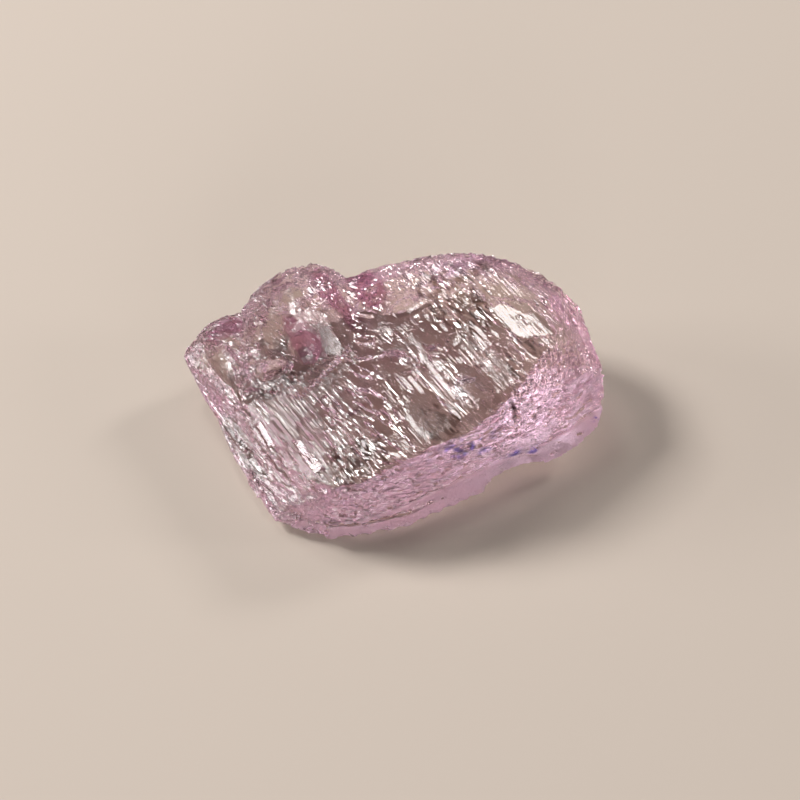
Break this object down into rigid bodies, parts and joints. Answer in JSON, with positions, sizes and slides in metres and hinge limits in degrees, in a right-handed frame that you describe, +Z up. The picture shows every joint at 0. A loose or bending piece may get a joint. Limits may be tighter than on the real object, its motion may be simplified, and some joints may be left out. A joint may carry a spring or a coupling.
{
  "type": "raw kunzite crystal fragment",
  "caption": "Rough piece of clear lilac-pink crystal with a striated cleavage top, an etched end face and a shell-shaped dish, lying on its flat underside.",
  "frame": {"origin": "bottom centre of the bounding box, on the surface the stone lies on", "axes": "+X along the longest side, +Y away from the etched end face, +Z up"},
  "size_m": [0.0406, 0.0282, 0.0114],
  "materials": {
    "kunzite": "clear lilac-pink crystal, glassy on the smooth fracture windows, finely striated or etched elsewhere"
  },
  "bodies": {
    "root": {"kunzite_crystal": "kunzite"}
  },
  "joints": []
}
